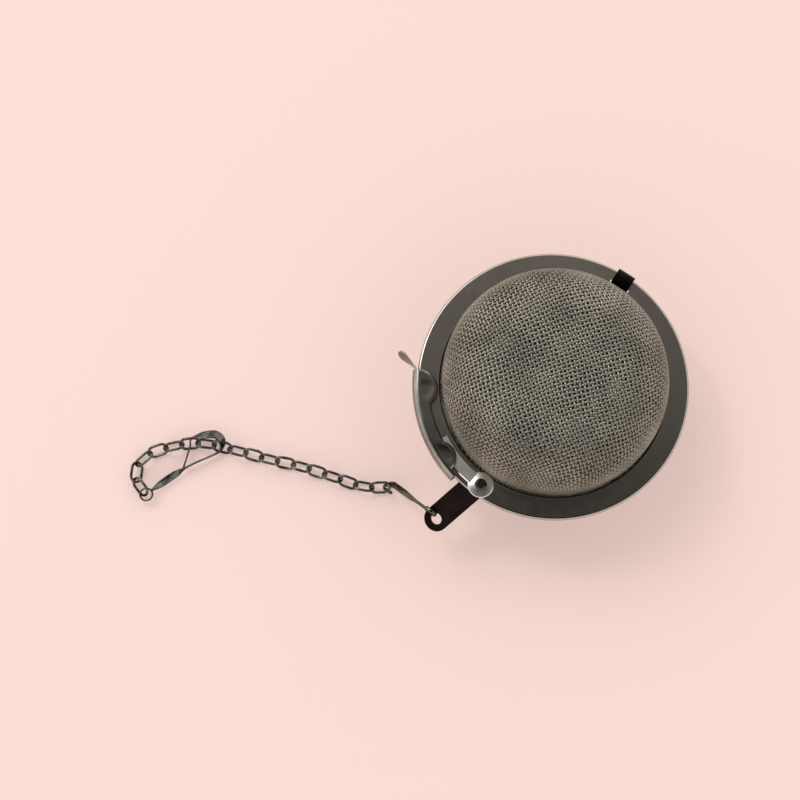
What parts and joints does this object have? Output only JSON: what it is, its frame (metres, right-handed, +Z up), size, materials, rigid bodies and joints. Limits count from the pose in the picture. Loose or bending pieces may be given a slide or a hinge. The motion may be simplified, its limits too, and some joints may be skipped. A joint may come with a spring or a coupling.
{
  "type": "tea_infuser",
  "caption": "Hinged mesh-ball tea infuser with folded steel rims, a swinging latch lever, and a chain ending in a cup hook",
  "frame": {"origin": "middle of the lower cup's flat crown, which rests on the table", "axes": "+Z up through the ball, -X toward the chain's far end, +Y away from the viewer"},
  "size_m": [0.1151, 0.0563, 0.035],
  "materials": {
    "rim_steel": "satin",
    "woven_mesh": "satin",
    "latch_steel": "polished",
    "dark_strap": "satin",
    "chain_steel": "polished"
  },
  "bodies": {
    "lower_shell": {"lower_rim": "rim_steel", "lower_mesh": "woven_mesh", "hinge_strap": "dark_strap", "chain_tab": "dark_strap"},
    "upper_shell": {"upper_rim": "rim_steel", "upper_mesh": "woven_mesh", "latch_rivet": "latch_steel"},
    "latch": {"latch_lever": "latch_steel"},
    "hook_body": {"tab_hook": "chain_steel"},
    "link_01": {"chain_link_01": "chain_steel"},
    "link_02": {"chain_link_02": "chain_steel"},
    "link_03": {"chain_link_03": "chain_steel"},
    "link_04": {"chain_link_04": "chain_steel"},
    "link_05": {"chain_link_05": "chain_steel"},
    "link_06": {"chain_link_06": "chain_steel"},
    "link_07": {"chain_link_07": "chain_steel"},
    "link_08": {"chain_link_08": "chain_steel"},
    "link_09": {"chain_link_09": "chain_steel"},
    "link_10": {"chain_link_10": "chain_steel"},
    "end_loop": {"chain_link_11": "chain_steel", "chain_link_12": "chain_steel", "chain_link_13": "chain_steel", "chain_link_14": "chain_steel", "chain_link_15": "chain_steel", "chain_link_16": "chain_steel", "chain_link_17": "chain_steel", "chain_link_18": "chain_steel", "cup_hook": "chain_steel"}
  },
  "joints": [
    {"name": "lid_hinge", "type": "hinge", "parent": "lower_shell", "child": "upper_shell", "pos_m": [0.01476, 0.02189, 0.018], "axis": [-0.829, 0.5592, 0], "range_deg": [0, 170]},
    {"name": "latch_pivot", "type": "hinge", "parent": "upper_shell", "child": "latch", "pos_m": [-0.01481, -0.02039, 0.01876], "axis": [0, 0, 1], "range_deg": [0, 80]},
    {"name": "tab_hook_swing", "type": "hinge", "parent": "lower_shell", "child": "hook_body", "pos_m": [-0.0247, -0.02481, 0.01115], "axis": [0.6018, 0.7986, 0], "range_deg": [0, 60]},
    {"name": "chain_joint_01", "type": "hinge", "parent": "hook_body", "child": "link_01", "pos_m": [-0.03338, -0.01853, 0.00155], "axis": [0, 0, 1], "range_deg": [-10, 10]},
    {"name": "chain_joint_02", "type": "hinge", "parent": "link_01", "child": "link_02", "pos_m": [-0.03683, -0.01865, 0.00155], "axis": [0, 0, 1], "range_deg": [-10, 10]},
    {"name": "chain_joint_03", "type": "hinge", "parent": "link_02", "child": "link_03", "pos_m": [-0.04023, -0.01805, 0.00155], "axis": [0, 0, 1], "range_deg": [-10, 10]},
    {"name": "chain_joint_04", "type": "hinge", "parent": "link_03", "child": "link_04", "pos_m": [-0.04347, -0.01687, 0.00155], "axis": [0, 0, 1], "range_deg": [-10, 10]},
    {"name": "chain_joint_05", "type": "hinge", "parent": "link_04", "child": "link_05", "pos_m": [-0.04673, -0.01575, 0.00155], "axis": [0, 0, 1], "range_deg": [-10, 10]},
    {"name": "chain_joint_06", "type": "hinge", "parent": "link_05", "child": "link_06", "pos_m": [-0.05001, -0.01468, 0.00155], "axis": [0, 0, 1], "range_deg": [-10, 10]},
    {"name": "chain_joint_07", "type": "hinge", "parent": "link_06", "child": "link_07", "pos_m": [-0.05333, -0.01373, 0.00155], "axis": [0, 0, 1], "range_deg": [-10, 10]},
    {"name": "chain_joint_08", "type": "hinge", "parent": "link_07", "child": "link_08", "pos_m": [-0.05671, -0.01307, 0.00155], "axis": [0, 0, 1], "range_deg": [-10, 10]},
    {"name": "chain_joint_09", "type": "hinge", "parent": "link_08", "child": "link_09", "pos_m": [-0.06005, -0.01218, 0.00155], "axis": [0, 0, 1], "range_deg": [-10, 10]},
    {"name": "chain_joint_10", "type": "hinge", "parent": "link_09", "child": "link_10", "pos_m": [-0.06338, -0.01129, 0.00155], "axis": [0, 0, 1], "range_deg": [-10, 10]},
    {"name": "chain_joint_11", "type": "hinge", "parent": "link_10", "child": "end_loop", "pos_m": [-0.06671, -0.01039, 0.00155], "axis": [0, 0, 1], "range_deg": [-10, 10]}
  ]
}
